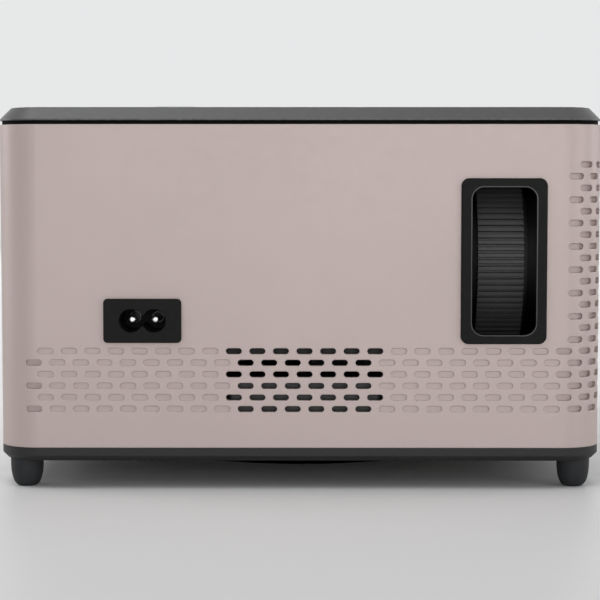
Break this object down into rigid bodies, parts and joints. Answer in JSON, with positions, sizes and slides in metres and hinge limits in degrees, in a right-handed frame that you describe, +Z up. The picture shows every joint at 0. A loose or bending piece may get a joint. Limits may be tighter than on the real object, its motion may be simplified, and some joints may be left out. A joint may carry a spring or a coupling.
{
  "type": "projector with built-in disc player",
  "caption": "Table-top video projector in a slotted sheet-metal case with a dark lid, side focus wheel, mains socket and a disc tray that slides out of one long side.",
  "frame": {"origin": "on the ground at the middle of the footprint", "axes": "+Z up, +X the way the lens looks, +Y the way the disc tray comes out"},
  "size_m": [0.177, 0.2024, 0.1118],
  "materials": {
    "sheath_paint": "satin rose-grey paint on sheet metal",
    "lid_plastic": "smooth dark moulding",
    "base_plastic": "fine-textured dark grey moulding",
    "foot_rubber": "moulded rubber",
    "key_plastic": "smooth dark key caps",
    "trim_plastic": "black moulded trim",
    "wheel_plastic": "black ribbed grip",
    "lens_plastic": "black optical moulding",
    "optical_glass": "coated lens glass",
    "optic_sheet": "ribbed and plain clear sheets",
    "panel_glass": "liquid crystal panel",
    "mirror_glass": "front-silvered glass",
    "window_plastic": "smoked infrared window",
    "pin_steel": "plated contact pins",
    "screw_steel": "plated steel screws",
    "insert_brass": "turned brass insert",
    "port_steel": "bright port shells",
    "jack_plastic": "black jack bodies",
    "board_green": "green circuit board",
    "board_tan": "tan mains circuit board",
    "engine_plastic": "black heat-proof moulding",
    "lamp_board": "white metal-core lamp board",
    "sink_metal": "extruded aluminium",
    "fan_plastic": "black fan moulding",
    "speaker_steel": "zinc-plated speaker basket",
    "cone_paper": "pressed speaker cone",
    "frame_plastic": "dark structural moulding",
    "tray_plastic": "dark disc tray moulding",
    "door_paint": "satin rose-grey tray front",
    "gear_plastic": "natural acetal gears",
    "motor_steel": "plated motor cans",
    "belt_rubber": "black drive belt",
    "deck_plastic": "black traverse moulding",
    "clamp_steel": "pressed steel bridge",
    "puck_plastic": "white clamp puck"
  },
  "bodies": {
    "case": {"sheath": "sheath_paint", "top_lid": "lid_plastic", "base_plate": "base_plastic", "rubber_feet": "foot_rubber", "wheel_bezel": "trim_plastic", "mains_inlet": "trim_plastic", "rear_panel": "trim_plastic", "lens_trim": "trim_plastic", "lens_barrel": "lens_plastic", "condenser_lens": "optical_glass", "optic_plates": "optic_sheet", "lcd_panel": "panel_glass", "fold_mirror": "mirror_glass", "ir_window": "window_plastic", "inlet_pins": "pin_steel", "case_screws": "screw_steel", "tripod_insert": "insert_brass", "metal_ports": "port_steel", "jack_sockets": "jack_plastic", "main_board": "board_green", "keypad_board": "board_green", "power_board": "board_tan", "engine_housing": "engine_plastic", "engine_cover": "engine_plastic", "air_ducts": "engine_plastic", "led_module": "lamp_board", "heat_sink": "sink_metal", "fan_frame": "fan_plastic", "blower_housing": "fan_plastic", "speaker_frames": "speaker_steel", "speaker_cones": "cone_paper", "mid_frame": "frame_plastic", "loader_chassis": "frame_plastic", "loading_motor": "motor_steel", "drive_belt": "belt_rubber", "clamp_bridge": "clamp_steel"},
    "focus_wheel": {"focus_ring": "wheel_plastic"},
    "lens_unit": {"lens_cell": "lens_plastic", "lens_elements": "optical_glass"},
    "tray": {"disc_tray": "tray_plastic", "tray_door": "door_paint"},
    "loading_gear": {"tray_gear": "gear_plastic"},
    "motor_pulley": {"motor_pulley": "gear_plastic"},
    "traverse": {"traverse_deck": "deck_plastic", "guide_rods": "motor_steel", "traverse_motors": "motor_steel"},
    "deck_cam": {"cam_slider": "gear_plastic"},
    "spindle": {"turntable": "gear_plastic"},
    "pickup": {"optical_pickup": "deck_plastic"},
    "sled_pinion": {"sled_gear": "gear_plastic"},
    "exhaust_fan": {"fan_rotor": "fan_plastic"},
    "intake_fan": {"blower_impeller": "fan_plastic"},
    "clamp": {"clamp_puck": "puck_plastic"},
    "key_ok": {"key_ok": "key_plastic"},
    "key_up": {"key_up": "key_plastic"},
    "key_down": {"key_down": "key_plastic"},
    "key_left": {"key_left": "key_plastic"},
    "key_right": {"key_right": "key_plastic"},
    "key_power": {"key_power": "key_plastic"},
    "key_eject": {"key_eject": "key_plastic"}
  },
  "joints": [
    {"name": "focus_wheel_turn", "type": "hinge", "parent": "case", "child": "focus_wheel", "pos_m": [0.0569, -0.0665, 0.0672], "axis": [1, 0, 0], "range_deg": [-60, 60]},
    {"name": "lens_slide", "type": "slide", "parent": "case", "child": "lens_unit", "axis": [1, 0, 0], "range_m": [-0.00401, 0.00401]},
    {"name": "tray_slide", "type": "slide", "parent": "case", "child": "tray", "axis": [0, 1, 0], "range_m": [0, 0.12]},
    {"name": "loading_gear_turn", "type": "hinge", "parent": "case", "child": "loading_gear", "pos_m": [-0.049, 0.0849, 0.0264], "axis": [0, 0, 1], "range_deg": [-765, 1]},
    {"name": "motor_pulley_turn", "type": "hinge", "parent": "case", "child": "motor_pulley", "pos_m": [-0.019, 0.0809, 0.024], "axis": [0, 0, 1], "range_deg": [-3060, 2]},
    {"name": "deck_tilt", "type": "hinge", "parent": "case", "child": "traverse", "pos_m": [0, -0.03, 0.0207], "axis": [1, 0, 0], "range_deg": [-2.8, 0]},
    {"name": "cam_slide", "type": "slide", "parent": "case", "child": "deck_cam", "axis": [1, 0, 0], "range_m": [-0.00601, 0.00001]},
    {"name": "spindle_turn", "type": "hinge", "parent": "traverse", "child": "spindle", "pos_m": [0, 0.033, 0.0282], "axis": [0, 0, 1], "continuous": true},
    {"name": "pickup_slide", "type": "slide", "parent": "traverse", "child": "pickup", "axis": [0, -1, 0], "range_m": [0, 0.033]},
    {"name": "sled_pinion_turn", "type": "hinge", "parent": "traverse", "child": "sled_pinion", "pos_m": [0.028, 0.004, 0.024], "axis": [0, 0, 1], "range_deg": [-1, 474]},
    {"name": "exhaust_fan_turn", "type": "hinge", "parent": "case", "child": "exhaust_fan", "pos_m": [-0.004, 0.066, 0.0672], "axis": [0, 1, 0], "continuous": true},
    {"name": "intake_fan_turn", "type": "hinge", "parent": "case", "child": "intake_fan", "pos_m": [0.0014, -0.07, 0.0232], "axis": [0, 0, 1], "continuous": true},
    {"name": "clamp_turn", "type": "hinge", "parent": "case", "child": "clamp", "pos_m": [0, 0.033, 0.0342], "axis": [0, 0, 1], "continuous": true},
    {"name": "key_ok_press", "type": "slide", "parent": "case", "child": "key_ok", "axis": [0, 0, -1], "range_m": [0, 0.0008], "stiffness_N_per_m": 300, "springref_m": -0.0005},
    {"name": "key_up_press", "type": "slide", "parent": "case", "child": "key_up", "axis": [0, 0, -1], "range_m": [0, 0.0008], "stiffness_N_per_m": 300, "springref_m": -0.0005},
    {"name": "key_down_press", "type": "slide", "parent": "case", "child": "key_down", "axis": [0, 0, -1], "range_m": [0, 0.0008], "stiffness_N_per_m": 300, "springref_m": -0.0005},
    {"name": "key_left_press", "type": "slide", "parent": "case", "child": "key_left", "axis": [0, 0, -1], "range_m": [0, 0.0008], "stiffness_N_per_m": 300, "springref_m": -0.0005},
    {"name": "key_right_press", "type": "slide", "parent": "case", "child": "key_right", "axis": [0, 0, -1], "range_m": [0, 0.0008], "stiffness_N_per_m": 300, "springref_m": -0.0005},
    {"name": "key_power_press", "type": "slide", "parent": "case", "child": "key_power", "axis": [0, 0, -1], "range_m": [0, 0.0008], "stiffness_N_per_m": 300, "springref_m": -0.0005},
    {"name": "key_eject_press", "type": "slide", "parent": "case", "child": "key_eject", "axis": [0, 0, -1], "range_m": [0, 0.0008], "stiffness_N_per_m": 300, "springref_m": -0.0005}
  ],
  "couplings": [
    {"joint": "lens_slide", "follows": "focus_wheel_turn", "m_per_rad": 0.0038197},
    {"joint": "loading_gear_turn", "follows": "tray_slide", "rad_per_m": -111.11},
    {"joint": "motor_pulley_turn", "follows": "tray_slide", "rad_per_m": -444.44},
    {"joint": "cam_slide", "follows": "deck_tilt", "m_per_rad": 0.12278},
    {"joint": "sled_pinion_turn", "follows": "pickup_slide", "rad_per_m": 250}
  ]
}
